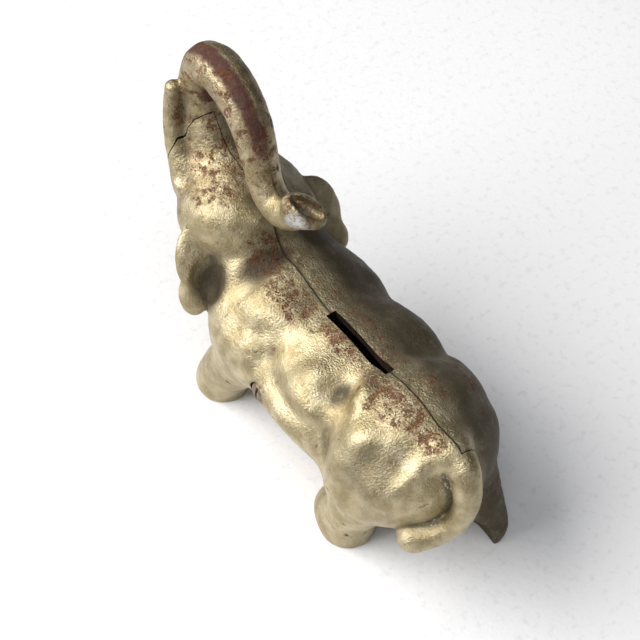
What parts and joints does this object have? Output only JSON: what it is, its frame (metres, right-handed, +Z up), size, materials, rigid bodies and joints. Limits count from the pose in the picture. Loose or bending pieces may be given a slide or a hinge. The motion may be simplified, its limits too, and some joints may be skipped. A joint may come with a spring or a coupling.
{
  "type": "still coin bank",
  "caption": "Hollow cast-iron elephant coin bank with a raised looped trunk, in two halves parted along the back, with a coin slot on the seam and one clamping screw.",
  "frame": {"origin": "middle of the overall box in plan, on the plane the feet stand on", "axes": "+Z up, the head points to -Y, the elephant's left side is +X"},
  "size_m": [0.077, 0.1941, 0.1542],
  "materials": {
    "gilt_iron": "old gold-bronze paint over sand-cast iron, satin, with rust specks and grime in the hollows",
    "old_steel": "browned old steel, dull and slightly rusty"
  },
  "bodies": {
    "right_half": {"right_casting": "gilt_iron", "square_nut": "old_steel"},
    "left_half": {"left_casting": "gilt_iron"},
    "screw": {"clamp_screw": "old_steel"}
  },
  "joints": [
    {"name": "halves_part", "type": "slide", "parent": "right_half", "child": "left_half", "axis": [1, 0, 0], "range_m": [0, 0.08]},
    {"name": "screw_turn", "type": "hinge", "parent": "left_half", "child": "screw", "pos_m": [0.0329, 0.003, 0.0505], "axis": [1, 0, 0], "continuous": true}
  ]
}
